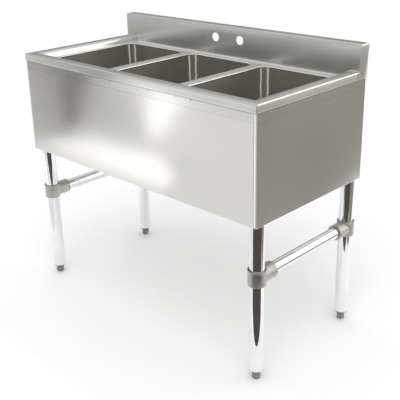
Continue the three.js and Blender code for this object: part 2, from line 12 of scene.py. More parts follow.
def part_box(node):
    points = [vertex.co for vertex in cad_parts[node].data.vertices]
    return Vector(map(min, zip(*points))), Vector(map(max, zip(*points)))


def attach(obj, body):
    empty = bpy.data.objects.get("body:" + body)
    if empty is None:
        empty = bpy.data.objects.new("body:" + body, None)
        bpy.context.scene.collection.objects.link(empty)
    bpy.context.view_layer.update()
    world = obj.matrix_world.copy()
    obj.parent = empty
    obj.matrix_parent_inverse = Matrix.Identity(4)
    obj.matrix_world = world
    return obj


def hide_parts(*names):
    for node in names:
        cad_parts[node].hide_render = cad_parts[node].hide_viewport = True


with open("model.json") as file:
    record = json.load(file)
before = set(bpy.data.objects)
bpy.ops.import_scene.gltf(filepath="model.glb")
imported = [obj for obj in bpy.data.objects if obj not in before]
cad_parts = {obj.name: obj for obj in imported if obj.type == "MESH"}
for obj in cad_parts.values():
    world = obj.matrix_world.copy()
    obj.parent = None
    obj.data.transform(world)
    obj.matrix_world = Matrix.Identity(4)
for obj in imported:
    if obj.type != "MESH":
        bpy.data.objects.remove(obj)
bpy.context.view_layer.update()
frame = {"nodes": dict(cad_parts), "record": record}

MM = 0.001
GAP = 0.3 * MM
SHEET = 1.2 * MM

# Sizes and places that the frame gives
DECK_LOW, DECK_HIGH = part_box("top_deck")
SPLASH_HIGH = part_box("backsplash")[1]
BOWL_LOW, BOWL_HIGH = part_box("bowl_middle")
HALF_WIDTH = DECK_HIGH.x
FRONT = DECK_LOW.y
BACK = SPLASH_HIGH.y
RIM_TOP = DECK_HIGH.z
BAND_BOTTOM = DECK_LOW.z
SPLASH_FACE = DECK_HIGH.y + GAP
SPLASH_TOP = SPLASH_HIGH.z

# Shape details of the top, the same as the solids' own
BAND_BEND = 3 * MM
RIM_FLAT = 28 * MM
RIM_ROLL = 14 * MM
RIM_COVE = 4 * MM
RIM_LEAN = math.radians(20)
DECK_DROP = 20 * MM
DECK_TOP = RIM_TOP - DECK_DROP
RIM_CORNER = 3 * MM
BAND_BEND_STEPS = 6
COVE_BEND = 6 * MM
SPLASH_FRONT_BEND = 4 * MM
SPLASH_BACK_BEND = 8 * MM
SPLASH_FLANGE = 24 * MM
FAUCET_SPACING = 101.6 * MM
FAUCET_HOLE_RADIUS = 14 * MM
FAUCET_HEIGHT = RIM_TOP + 38 * MM

# Bowls. The margin is taken off each side of a bowl's packed box. The solids' flange is 12 mm
# wide, so these bowls and their mouths are 4 mm bigger than the solids' on every side.
BOWL_BOX_MARGIN = 8 * MM
BOWL_HALF_WIDTH = (BOWL_HIGH.x - BOWL_LOW.x) / 2 - BOWL_BOX_MARGIN
BOWL_HALF_LENGTH = (BOWL_HIGH.y - BOWL_LOW.y) / 2 - BOWL_BOX_MARGIN
BOWL_MIDDLE = (BOWL_HIGH.y + BOWL_LOW.y) / 2
BOWL_FLOOR = BOWL_LOW.z + SHEET
BOWL_CORNER = 25 * MM
BOWL_COVE = 18 * MM
BOWL_EDGE = 3 * MM
BOWL_FALL = 2 * MM
BOWLS = ("left", "middle", "right")
BOWL_X = {name: sum(corner.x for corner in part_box(f"bowl_{name}")) / 2 for name in BOWLS}

# Aprons
APRON_BEND = 2.5 * MM
APRON_BACK_RETURN = 14 * MM
APRON_CORNER_WRAP = 9 * MM
HEM_RETURN = 12 * MM
HEM_LIP = 10 * MM

# Weld spots and painted shadow under the rim's band, the apron's crease (painted shade) below them, the
# corner wraps' edge (painted highlight), and the dividers' rear ends (painted pit shade)
WELD_PITCH = 54 * MM
WELD_RADIUS = 2.4 * MM
WRAP_EDGE = APRON_CORNER_WRAP + SHEET + GAP
CREASE = BAND_BOTTOM - 24 * MM
CREASE_LEAN = 0.5 * MM
DIVIDER_X = BOWL_X["right"] / 2
PIT_Y = BOWL_MIDDLE + BOWL_HALF_LENGTH + 4 * MM

# Legs, tees and feet
LEG_WALL = 1.5 * MM
TUBE_CLEARANCE = 0.35 * MM
TEE_LIP = 0.8 * MM
TEE_LIP_HEIGHT = 3 * MM
TEE_MOUTH_DEPTH = 3 * MM
TEE_BRANCH_STEP = 2.5 * MM
TEE_GRAIN = 0.8 * MM
SCREW_HOLE_RADIUS = 4.1 * MM
THREAD_PITCH = 1.75 * MM
THREAD_DEPTH = 0.7 * MM
THREAD_ROWS = 6
STEM_RADIUS = 5.9 * MM
PLUG_BORE = 5.95 * MM
PLUG_TIP_RADIUS = 12 * MM
FOOT_POINT = 4 * MM
LEGS = ("front_left", "front_right", "back_left", "back_right")
ROUND_STEPS = 96

# Drains and strainer baskets
DRAIN_HOLE_RADIUS = 43 * MM
CUP_RADIUS = 42 * MM
CUP_DEPTH = 52 * MM
CUP_WALL = 2 * MM
SEAT_DROP = 20 * MM
SEAT_WIDTH = 3.5 * MM
OUTLET_RADIUS = 22 * MM
BASKET_DEPTH = 15 * MM
BASKET_WALL_RADIUS = 34 * MM
POST_RADIUS = 4 * MM
KNOB_RADIUS = 9 * MM
PIERCING_COUNT = 8
PIERCING_RADIUS = 3.5 * MM
PIERCING_CIRCLE = 20 * MM

NODE_BODY = {
    node: body for body, nodes in frame["record"]["behaviour"]["bodies"].items() for node in nodes
}
NODE_SLOT = {row["node"]: row["material_slot"] for row in frame["record"]["subparts"]}


# Outlines


def arc(centre_x, centre_y, radius, start, end, steps):
    """Points on an arc, from one angle to another in degrees."""
    angles = [math.radians(start + (end - start) * i / steps) for i in range(steps + 1)]
    return [(centre_x + radius * math.cos(a), centre_y + radius * math.sin(a)) for a in angles]


def rounded_rectangle(half_width, half_length, radius, steps=8):
    x = half_width - radius
    y = half_length - radius
    corners = ((x, y, 0), (-x, y, 90), (-x, -y, 180), (x, -y, 270))
    return [p for cx, cy, start in corners for p in arc(cx, cy, radius, start, start + 90, steps)]


def bent_sheet(corners, bends, thickness=SHEET, steps=8):
    """The section of a bent sheet: corners on one face, thickness to their left, and one radius
    for each inner corner."""
    points = [Vector(corner) for corner in corners]
    headings = [(b - a).normalized() for a, b in zip(points, points[1:])]
    left = [Vector((-h.y, h.x)) for h in headings]
    face = [points[0]]
    back = [points[0] + left[0] * thickness]
    turns = zip(points[1:-1], headings, headings[1:], left, bends)
    for point, before, after, side, bend in turns:
        turn = math.atan2(before.x * after.y - before.y * after.x, before.dot(after))
        start = point - before * bend * math.tan(abs(turn) / 2)
        centre = start + side * math.copysign(bend, turn)
        for step in range(steps + 1):
            swept = Matrix.Rotation(turn * step / steps, 2)
            on_face = centre + swept @ (start - centre)
            face.append(on_face)
            back.append(on_face + swept @ side * thickness)
    face.append(points[-1])
    back.append(points[-1] + left[-1] * thickness)
    return [tuple(p) for p in face + back[::-1]]


# Meshes


def loft(bm, rings, closed=True, material=0):
    """Joins rings of points with quads and returns the rings' vertices."""
    rows = [[bm.verts.new(point) for point in ring] for ring in rings]
    for low, high in zip(rows, rows[1:]):
        count = len(low)
        for i in range(count if closed else count - 1):
            j = (i + 1) % count
            face = bm.faces.new((low[i], low[j], high[j], high[i]))
            face.material_index = material
    return rows


def prism(bm, outline, place, start, end):
    """A closed outline drawn out from start to end, with place(a, b, along) giving its points."""
    rings = [[place(a, b, along) for a, b in outline] for along in (start, end)]
    rows = loft(bm, rings)
    bm.faces.new(rows[0][::-1])
    bm.faces.new(rows[1])


def turned(bm, profile, centre, steps=ROUND_STEPS, closed=True):
    """A profile of (radius, height) points turned round Z at the centre."""
    ring = list(profile) + ([profile[0]] if closed else [])
    angles = [2 * math.pi * i / steps for i in range(steps)]
    rings = [
        [(centre.x + r * math.cos(a), centre.y + r * math.sin(a), centre.z + z) for a in angles]
        for r, z in ring
    ]
    loft(bm, rings)


def along_x(y, z, x):
    return (x, y, z)


def along_y(x, z, y):
    return (x, y, z)


def along_z(x, y, z):
    return (x, y, z)


def new_object(name, bm, angle=35):
    """An object of that mesh, smooth but for edges sharper than the angle in degrees."""
    bmesh.ops.remove_doubles(bm, verts=bm.verts, dist=1e-6)
    bmesh.ops.dissolve_degenerate(bm, edges=bm.edges, dist=1e-7)
    bmesh.ops.recalc_face_normals(bm, faces=bm.faces)
    mesh = bpy.data.meshes.new(name)
    bm.to_mesh(mesh)
    bm.free()
    piece = bpy.data.objects.new(name, mesh)
    bpy.context.scene.collection.objects.link(piece)
    smooth(piece, angle)
    return piece


def smooth(piece, angle=35):
    piece.data.shade_smooth()
    piece.data.set_sharp_from_angle(angle=math.radians(angle))


def apply_modifiers(piece):
    evaluated = piece.evaluated_get(bpy.context.evaluated_depsgraph_get())
    mesh = bpy.data.meshes.new_from_object(evaluated)
    piece.modifiers.clear()
    piece.data = mesh


def boolean(piece, tool, operation):
    modifier = piece.modifiers.new("boolean", "BOOLEAN")
    modifier.object = tool
    modifier.operation = operation
    modifier.solver = "EXACT"
    apply_modifiers(piece)
    bpy.data.objects.remove(tool)


def bevel(piece, width, segments=2, angle=40):
    modifier = piece.modifiers.new("bevel", "BEVEL")
    modifier.width = width
    modifier.segments = segments
    modifier.limit_method = "ANGLE"
    modifier.angle_limit = math.radians(angle)
    modifier.harden_normals = False
    apply_modifiers(piece)


def rod(radius, start, end, steps=ROUND_STEPS):
    """A plain cylinder between two points, for cutting and joining."""
    start = Vector(start)
    direction = Vector(end) - start
    turn = direction.to_track_quat("Z", "Y").to_matrix()
    bm = bmesh.new()
    circle = [(radius * math.cos(a), radius * math.sin(a))
              for a in (2 * math.pi * i / steps for i in range(steps))]
    rings = [
        [start + turn @ Vector((x, y, along)) for x, y in circle]
        for along in (0, direction.length)
    ]
    rows = loft(bm, rings)
    bm.faces.new(rows[0][::-1])
    bm.faces.new(rows[1])
    return new_object("rod", bm)


def grain_along(axis):
    """Grain along one axis everywhere."""
    return lambda centre, normal: axis


def grain_level(centre, normal):
    """Level grain: along Y on faces that look along X, and along X on the rest."""
    return 1 if abs(normal.x) > max(abs(normal.y), abs(normal.z)) else 0


def grain_rim(centre, normal):
    """Grain along the rim: along Y on its left and right arms."""
    to_side = HALF_WIDTH - abs(centre.x)
    to_front = centre.y - FRONT
    return 1 if to_side < min(to_front, RIM_FLAT + RIM_ROLL * 2) else 0


def lay_grain(piece, rule):
    """A UV map in metres with U along the grain and V across it."""
    mesh = piece.data
    layer = mesh.uv_layers.get("grain") or mesh.uv_layers.new(name="grain")
    for polygon in mesh.polygons:
        axis = rule(polygon.center, polygon.normal)
        others = [i for i in range(3) if i != axis]
        for loop in polygon.loop_indices:
            co = mesh.vertices[mesh.loops[loop].vertex_index].co
            layer.data[loop].uv = (co[axis], co[others[0]] + co[others[1]])


def stand_for(piece, node, grain=None, material=None):
    """The piece takes the CAD node's place, on its body and in its material slot."""
    lay_grain(piece, grain or grain_level)
    slot = NODE_SLOT[node]
    piece.data.materials.clear()
    piece.data.materials.append(material or MATERIALS[slot])
    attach(piece, NODE_BODY[node])
    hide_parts(node)


def refined_copy(node, width=0.3 * MM, segments=2, angle=40):
    """The CAD node's own shape with its flat triangles joined and its edges eased."""
    bm = bmesh.new()
    bm.from_mesh(frame["nodes"][node].data)
    bmesh.ops.remove_doubles(bm, verts=bm.verts, dist=1e-6)
    bmesh.ops.dissolve_limit(
        bm, angle_limit=math.radians(1), verts=bm.verts, edges=bm.edges, use_dissolve_boundaries=False
    )
    piece = new_object(f"{node}_fine", bm)
    bevel(piece, width, segments, angle)
    smooth(piece)
    return piece


# Materials


class Nodes:
    """Short names for the nodes of one material."""

    def __init__(self, name):
        self.material = bpy.data.materials.new(name)
        self.material.use_nodes = True
        self.tree = self.material.node_tree
        self.shader = self.tree.nodes["Principled BSDF"]

    def node(self, kind, inputs=None, **settings):
        made = self.tree.nodes.new(kind)
        for key, value in settings.items():
            setattr(made, key, value)
        for key, value in (inputs or {}).items():
            self.put(made, key, value)
        return made

    def put(self, node, key, value):
        """Sets an input to a number or a colour, or links another node's output to it."""
        socket = node.inputs[key]
        if isinstance(value, bpy.types.Node):
            value = value.outputs[0]
        if isinstance(value, bpy.types.NodeSocket):
            self.tree.links.new(value, socket)
        else:
            socket.default_value = value

    def set(self, **values):
        for key, value in values.items():
            self.put(self.shader, key.replace("_", " "), value)

    def math(self, operation, a, b=0.0, c=0.0):
        made = self.node("ShaderNodeMath", operation=operation)
        for i, value in enumerate((a, b, c)):
            self.put(made, i, value)
        return made

    def plus(self, a, b):
        return self.math("ADD", a, b)

    def minus(self, a, b):
        return self.math("SUBTRACT", a, b)

    def times(self, a, b):
        return self.math("MULTIPLY", a, b)

    def most(self, a, b):
        return self.math("MAXIMUM", a, b)

    def size(self, a):
        return self.math("ABSOLUTE", a)

    def ramp(self, value, low, high, to_low=0.0, to_high=1.0):
        inputs = {"Value": value, 1: low, 2: high, 3: to_low, 4: to_high}
        return self.node("ShaderNodeMapRange", inputs, interpolation_type="SMOOTHSTEP")

    def noise(self, vector, scale, detail=3.0, roughness=0.55):
        inputs = {"Vector": vector, "Scale": scale, "Detail": detail, "Roughness": roughness}
        return self.node("ShaderNodeTexNoise", inputs)

    def stretched(self, vector, along, across):
        return self.node("ShaderNodeMapping", {"Vector": vector, "Scale": (along, across, 1.0)})

    def place(self):
        return self.node("ShaderNodeTexCoord").outputs["Object"]

    def grain(self):
        return self.node("ShaderNodeUVMap", uv_map="grain").outputs["UV"]

    def mix(self, factor, a, b):
        made = self.node("ShaderNodeMix", data_type="RGBA")
        self.put(made, 0, factor)
        self.put(made, 6, a)
        self.put(made, 7, b)
        return made.outputs[2]

    def bump(self, height, distance, before=None, strength=1.0):
        inputs = {"Height": height, "Distance": distance, "Strength": strength}
        if before is not None:
            inputs["Normal"] = before
        return self.node("ShaderNodeBump", inputs)


def shade(colour, factor):
    return (*(min(1.0, c * factor) for c in colour), 1.0)


def brushed_steel(name, colour, roughness, waves=0.0012, streaks=1.0, haze=0.0, marks_and_painted_light=None):
    """Steel with grain lines along U, cloudy handling marks, and a sheet's slight waves. haze is
    the share of light that its scratches scatter all round. marks_and_painted_light may add marks,
    painted shade and painted highlights to its look, a dict of the base colour, roughness, metal share
    and surface."""
    n = Nodes(name)
    place = n.place()
    grain = n.grain()
    lines = n.noise(n.stretched(grain, 4.0, 900.0), 1.0, 2.0, 0.6)
    bands = n.noise(n.stretched(grain, 1.2, 210.0), 1.0, 3.0, 0.6)
    clouds = n.noise(place, 3.5, 2.0, 0.5)
    grainy = n.math("MULTIPLY_ADD", lines, 0.55 * streaks, n.times(bands, 0.3 * streaks))
    tone = n.math("MULTIPLY_ADD", clouds, 0.35, grainy)
    low, high = 0.3 + 0.18 * streaks, 0.42 + 0.78 * streaks
    base = n.mix(n.ramp(tone, low - 0.18, high - 0.18), shade(colour, 0.95), shade(colour, 1.03))
    rough = n.ramp(clouds, 0.3, 0.7, roughness - 0.02, roughness + 0.02)
    rough = n.math("MULTIPLY_ADD", n.minus(bands, 0.5), 0.04, rough)
    wave = n.bump(n.noise(place, 3.2, 1.0, 0.4), waves)
    hair = n.bump(n.plus(lines, bands), 0.002 * MM * streaks, wave)
    look = {"base": base, "rough": rough, "metal": 1.0 - haze, "surface": hair}
    # The marks functions may paint shade and highlights as well as real marks.
    if marks_and_painted_light:
        marks_and_painted_light(n, place, look)
    tangent = n.node("ShaderNodeTangent", direction_type="UV_MAP", uv_map="grain")
    n.set(Base_Color=look["base"], Roughness=look["rough"], Metallic=look["metal"])
    n.set(Anisotropic=0.55, Anisotropic_Rotation=0.25, Normal=look["surface"], Tangent=tangent)
    return n.material


def spot_row(n, along, height, pitch, level, radius):
    """1 inside a row of round spots, a pitch apart and at one level."""
    cell = n.minus(n.math("FRACT", n.math("DIVIDE", along, pitch)), 0.5)
    aside = n.math("POWER", n.times(cell, pitch), 2.0)
    above = n.math("POWER", n.minus(height, level), 2.0)
    away = n.math("SQRT", n.plus(aside, above))
    return n.ramp(away, radius * 1.5, radius * 0.5)


def band_between(n, value, low, high, soft):
    """1 between two values, with soft edges."""
    rise = n.ramp(value, low - soft, low + soft)
    return n.times(rise, n.ramp(value, high + soft, high - soft))


def apron_marks_and_painted_light(n, place, look):
    """A painted shadow line below the rim's band with weld spots along it, painted shade along a faint
    crease under them, and a painted highlight strip with a dark joint where the side aprons wrap round
    the front corners."""
    axes = n.node("ShaderNodeSeparateXYZ", {"Vector": place})
    height = axes.outputs["Z"]
    along = n.plus(axes.outputs["X"], axes.outputs["Y"])
    patchy = n.noise(place, 28.0, 2.0, 0.5)
    spots = spot_row(n, along, height, WELD_PITCH, BAND_BOTTOM - 3.2 * MM, 2.1 * MM)
    spots = n.times(spots, n.ramp(patchy, 0.42, 0.56))
    # Painted shadow: a dark line just under the band's lower edge, where the band shades the apron.
    band_shadow = n.ramp(height, BAND_BOTTOM - 2.4 * MM, BAND_BOTTOM - 1.0 * MM)
    band_shadow = n.times(band_shadow, n.ramp(patchy, 0.2, 0.6, 0.6, 1.0))
    # Painted shade: a faint dark line along the crease.
    crease_shade = band_between(n, height, CREASE - 1.2 * MM, CREASE, 1.0 * MM)
    dark = n.most(band_shadow, n.times(spots, 0.6))
    dark = n.most(dark, n.times(crease_shade, 0.22))
    look["base"] = n.mix(dark, look["base"], (0.07, 0.065, 0.06, 1.0))
    dimples = n.times(spots, -1.0)
    look["surface"] = n.bump(dimples, 0.5 * MM, look["surface"])
    from_side = n.minus(HALF_WIDTH, n.size(axes.outputs["X"]))
    in_front = n.ramp(axes.outputs["Y"], FRONT + 4 * MM, FRONT + 3 * MM)
    # Painted highlight: a pale, less metallic strip on the corner wrap, where its bend catches the light.
    # The joint beside it is a real dark line.
    corner_highlight = n.times(n.ramp(from_side, WRAP_EDGE + 0.2 * MM, WRAP_EDGE - 0.2 * MM), in_front)
    joint = n.ramp(n.size(n.minus(from_side, WRAP_EDGE)), 1.3 * MM, 0.5 * MM)
    joint = n.times(joint, in_front)
    look["base"] = n.mix(n.times(corner_highlight, 0.6), look["base"], (0.97, 0.97, 0.96, 1.0))
    look["base"] = n.mix(n.times(joint, 0.4), look["base"], (0.1, 0.095, 0.09, 1.0))
    look["metal"] = n.math("MULTIPLY_ADD", corner_highlight, -0.3, look["metal"])


def top_marks_and_painted_light(n, place, look):
    """A painted highlight along the foot of the rim's band, dark mitres at the front corners, a dark line
    before the splash, a hazy deck, and the painted shade of small pits at the dividers' rear ends."""
    axes = n.node("ShaderNodeSeparateXYZ", {"Vector": place})
    height = axes.outputs["Z"]
    along = n.plus(axes.outputs["X"], axes.outputs["Y"])
    # Painted highlight: a pale line along the foot of the rim's band.
    on_band = n.ramp(height, RIM_TOP - BAND_BEND - 1.2 * MM, RIM_TOP - BAND_BEND - 2.0 * MM)
    foot = n.times(n.ramp(height, BAND_BOTTOM + 1.6 * MM, BAND_BOTTOM + 0.6 * MM), on_band)
    patchy = n.noise(place, 40.0, 3.0, 0.6)
    on_deck = n.ramp(height, DECK_TOP + 2 * MM, DECK_TOP + 0.5 * MM)
    above_bowls = n.ramp(height, BAND_BOTTOM - 2 * MM, BAND_BOTTOM)
    look["metal"] = n.math("MULTIPLY_ADD", n.times(on_deck, above_bowls), -0.2, look["metal"])
    from_line = n.size(n.minus(axes.outputs["Y"], SPLASH_FACE - 6 * MM))
    at_splash = n.ramp(from_line, 2.6 * MM, 1.0 * MM)
    at_splash = n.times(at_splash, n.ramp(height, DECK_TOP + 4 * MM, DECK_TOP + 6 * MM))
    look["base"] = n.mix(n.times(foot, 0.25), look["base"], (0.95, 0.95, 0.94, 1.0))
    side = n.size(axes.outputs["X"])
    mitre_x = n.minus(HALF_WIDTH, side)
    mitre_y = n.minus(axes.outputs["Y"], FRONT)
    mitre = n.size(n.minus(mitre_x, mitre_y))
    on_rim = n.times(n.ramp(height, DECK_TOP + MM, DECK_TOP + 2 * MM), n.ramp(mitre_x, 60 * MM, 55 * MM))
    line = n.times(n.ramp(mitre, 1.4 * MM, 0.4 * MM), on_rim)
    # Painted shade: dark spots standing in for the shade inside small pits at the dividers' rear ends.
    pit_shade = n.math("LESS_THAN", n.size(n.minus(side, DIVIDER_X)), 4 * MM)
    behind = band_between(n, axes.outputs["Y"], PIT_Y - 2.5 * MM, PIT_Y + 2.5 * MM, 1.0 * MM)
    pit_shade = n.times(pit_shade, behind)
    pit_shade = n.times(pit_shade, n.ramp(height, DECK_TOP + 2 * MM, DECK_TOP + MM))
    line = n.times(line, n.ramp(patchy, 0.3, 0.6, 0.15, 0.4))
    dark = n.most(line, n.times(pit_shade, 0.75))
    dark = n.most(dark, n.times(at_splash, 0.6))
    look["base"] = n.mix(dark, look["base"], (0.08, 0.075, 0.07, 1.0))


def bowl_corner_highlights(n, place, look):
    """Painted highlights: two pale, less metallic lines down each upright corner, where its rounding
    catches the light.
    """
    axes = n.node("ShaderNodeSeparateXYZ", {"Vector": place})
    pitch = BOWL_X["right"] - BOWL_X["middle"]
    cell = n.math("ROUND", n.math("DIVIDE", axes.outputs["X"], pitch))
    from_middle = n.math("MULTIPLY_ADD", cell, -pitch, axes.outputs["X"])
    x = n.minus(n.size(from_middle), BOWL_HALF_WIDTH - BOWL_CORNER)
    y = n.size(n.minus(axes.outputs["Y"], BOWL_MIDDLE))
    y = n.minus(y, BOWL_HALF_LENGTH - BOWL_CORNER)
    turn = n.math("ARCTAN2", n.most(y, 0.0), n.most(x, 0.0))
    finer = n.node("ShaderNodeMapping", {"Vector": place, "Scale": (30.0, 30.0, 90.0)})
    ripple = n.noise(finer, 1.0, 3.0, 0.6)
    turn = n.math("MULTIPLY_ADD", n.minus(ripple, 0.5), 0.35, turn)
    upright = n.ramp(axes.outputs["Z"], BOWL_FLOOR + BOWL_COVE, BOWL_FLOOR + BOWL_COVE * 2)
    # Painted highlights: two pale lines round each rounded corner, standing in for the light it catches.
    painted_highlight = n.plus(band_between(n, turn, 0.24, 0.44, 0.06), band_between(n, turn, 1.12, 1.30, 0.06))
    painted_highlight = n.times(painted_highlight, upright)
    look["base"] = n.mix(painted_highlight, look["base"], (0.95, 0.94, 0.91, 1.0))
    look["metal"] = n.math("MULTIPLY_ADD", painted_highlight, -0.75, look["metal"])
    look["rough"] = n.math("MULTIPLY_ADD", painted_highlight, 0.15, look["rough"])


def chrome(name, colour, roughness):
    """Bright plating on a drawn tube, with faint draw lines and handling haze."""
    n = Nodes(name)
    place = n.place()
    grain = n.grain()
    draw = n.noise(n.stretched(grain, 2.0, 420.0), 1.0, 2.0, 0.5)
    haze = n.noise(place, 26.0, 5.0, 0.65)
    fleck = n.noise(place, 900.0, 2.0, 0.5)
    base = n.mix(n.ramp(haze, 0.35, 0.7), shade(colour, 0.93), shade(colour, 1.0))
    rough = n.ramp(haze, 0.45, 0.75, roughness, roughness * 2.2)
    wave = n.bump(n.noise(place, 9.0, 1.0, 0.4), 0.12 * MM)
    fine = n.bump(n.math("MULTIPLY_ADD", fleck, 0.3, draw), 0.008 * MM, wave)
    n.set(Base_Color=base, Roughness=rough, Metallic=1.0, Normal=fine)
    return n.material


def cast_metal(name, colour, roughness):
    """Tumbled die-cast metal: a fine pebbled skin with darker grime in soft patches."""
    n = Nodes(name)
    place = n.place()
    pebbles = n.noise(place, 1400.0, 3.0, 0.6)
    skin = n.noise(place, 300.0, 3.0, 0.6)
    patches = n.noise(place, 45.0, 4.0, 0.6)
    tone = n.math("MULTIPLY_ADD", pebbles, 0.4, n.times(patches, 0.6))
    base = n.mix(n.ramp(tone, 0.35, 0.65), shade(colour, 0.8), shade(colour, 1.12))
    rough = n.ramp(patches, 0.35, 0.65, roughness - 0.08, roughness + 0.08)
    height = n.math("MULTIPLY_ADD", pebbles, 0.5, skin)
    n.set(Base_Color=base, Roughness=rough, Metallic=1.0, Normal=n.bump(height, 0.06 * MM))
    return n.material


def galvanised(name, colour, roughness):
    """Zinc plating with a faint spangle."""
    n = Nodes(name)
    place = n.place()
    spangle = n.node("ShaderNodeTexVoronoi", {"Vector": place, "Scale": 90.0})
    tint = n.node("ShaderNodeSeparateColor", {"Color": spangle.outputs["Color"]})
    dust = n.noise(place, 60.0, 4.0, 0.6)
    tone = n.math("MULTIPLY_ADD", tint, 0.35, n.times(dust, 0.65))
    base = n.mix(n.ramp(tone, 0.25, 0.75), shade(colour, 0.84), shade(colour, 1.08))
    rough = n.ramp(tone, 0.25, 0.75, roughness + 0.06, roughness - 0.06)
    n.set(Base_Color=base, Roughness=rough, Metallic=1.0, Normal=n.bump(dust, 0.05 * MM))
    return n.material


def rubber(name, colour, roughness):
    n = Nodes(name)
    place = n.place()
    bloom = n.noise(place, 80.0, 4.0, 0.6)
    grain = n.noise(place, 1500.0, 2.0, 0.5)
    base = n.mix(n.ramp(bloom, 0.4, 0.7), shade(colour, 0.8), shade(colour, 1.6))
    rough = n.ramp(bloom, 0.3, 0.7, roughness - 0.08, roughness + 0.08)
    n.set(Base_Color=base, Roughness=rough, Metallic=0.0, Normal=n.bump(grain, 0.05 * MM))
    return n.material


MATERIALS = {
    # The marks functions of the top, apron and bowl steels also paint shade and highlights.
    "brushed_steel": brushed_steel("brushed_steel", (0.76, 0.76, 0.74), 0.22, haze=0.12, marks_and_painted_light=top_marks_and_painted_light),
    "apron_steel": brushed_steel("apron_steel", (0.80, 0.79, 0.77), 0.16, 0.0012, 1.0, 0.04, apron_marks_and_painted_light),
    "bowl_steel": brushed_steel("bowl_steel", (0.70, 0.68, 0.63), 0.30, 0.0008, 0.7, 0.02, bowl_corner_highlights),
    "chrome_tube": chrome("chrome_tube", (0.91, 0.925, 0.94), 0.05),
    "cast_metal": cast_metal("cast_metal", (0.58, 0.57, 0.54), 0.5),
    "galvanised_steel": galvanised("galvanised_steel", (0.36, 0.36, 0.355), 0.42),
    "screw_steel": cast_metal("screw_steel", (0.16, 0.16, 0.17), 0.4),
    "drain_steel": chrome("drain_steel", (0.77, 0.77, 0.76), 0.14),
    "drain_rubber": rubber("drain_rubber", (0.03, 0.03, 0.03), 0.7),
}
FOOT_METAL = cast_metal("foot_metal", (0.30, 0.295, 0.285), 0.42)


# Top: rim and deck, backsplash, end caps


def rim_profile():
    """The rim's top face as (distance in from the edge, height), from the band's foot to the deck."""
    lean = math.degrees(RIM_LEAN)
    roll_z = RIM_TOP - RIM_ROLL
    cove_z = DECK_TOP + RIM_COVE
    reach = RIM_ROLL + RIM_COVE
    run = (reach - (cove_z - roll_z) * math.sin(RIM_LEAN)) / math.cos(RIM_LEAN)
    return [
        (0.0, BAND_BOTTOM),
        *arc(BAND_BEND, RIM_TOP - BAND_BEND, BAND_BEND, 180, 90, BAND_BEND_STEPS),
        *arc(RIM_FLAT, roll_z, RIM_ROLL, 90, lean, 10),
        *arc(RIM_FLAT + run, cove_z, RIM_COVE, 180 + lean, 270, 6),
    ]


def rim_ring(inset, z, back, steps=4):
    """Three sides of the rim, from its left arm's back end round the front to the right arm's."""
    x = HALF_WIDTH - inset
    y = FRONT + inset
    r = max(RIM_CORNER - inset, 0.02 * MM)
    left = arc(-x + r, y + r, r, 180, 270, steps)
    right = arc(x - r, y + r, r, 270, 360, steps)
    return [(px, py, z) for px, py in [(-x, back), *left, *right, (x, back)]]


def bowl_ring(x, spread, z):
    outline = rounded_rectangle(
        BOWL_HALF_WIDTH + spread, BOWL_HALF_LENGTH + spread, BOWL_CORNER + spread
    )
    return [(x + px, BOWL_MIDDLE + py, z) for px, py in outline]


def edges_of(row):
    """The edges between vertices of one row."""
    return [edge for vert in row for edge in vert.link_edges if edge.other_vert(vert) in row]


def top_deck():
    back = SPLASH_FACE
    bm = bmesh.new()
    rings = [rim_ring(inset, z, back) for inset, z in rim_profile()]
    rim = loft(bm, rings, closed=False)
    edge_rings = []
    for name in BOWLS:
        turns = arc(0.0, 0.0, BOWL_EDGE, 90, 0, 5)
        rings = [bowl_ring(BOWL_X[name], BOWL_EDGE - px, DECK_TOP - BOWL_EDGE + pz)
                 for px, pz in turns]
        rings.append(bowl_ring(BOWL_X[name], 0.0, DECK_TOP - BOWL_EDGE * 1.6))
        edge_rings.append(loft(bm, rings)[0])
    inner = rim[-1]
    bm.edges.new((inner[0], inner[-1]))
    bm.edges.ensure_lookup_table()
    boundary = set(edges_of(inner))
    for ring in edge_rings:
        boundary.update(edges_of(ring))
    bmesh.ops.triangle_fill(bm, use_beauty=True, edges=list(boundary), normal=(0, 0, 1))
    deck = new_object("rim_and_deck", bm, 30)
    solidify = deck.modifiers.new("sheet", "SOLIDIFY")
    solidify.thickness = SHEET
    solidify.offset = -1
    apply_modifiers(deck)
    smooth(deck, 30)
    return deck


def bead(bm, path, radius, steps=12):
    """A round bead along a path of points in one upright plane."""
    rings = []
    for i, point in enumerate(path):
        heading = (path[min(i + 1, len(path) - 1)] - path[max(i - 1, 0)]).normalized()
        aside = Vector((0.0, 1.0, 0.0))
        outward = heading.cross(aside)
        angles = [2 * math.pi * k / steps for k in range(steps)]
        rings.append([
            point + (aside * math.cos(a) + outward * math.sin(a)) * radius for a in angles
        ])
    rows = loft(bm, rings)
    bm.faces.new(rows[0][::-1])
    bm.faces.new(rows[-1])


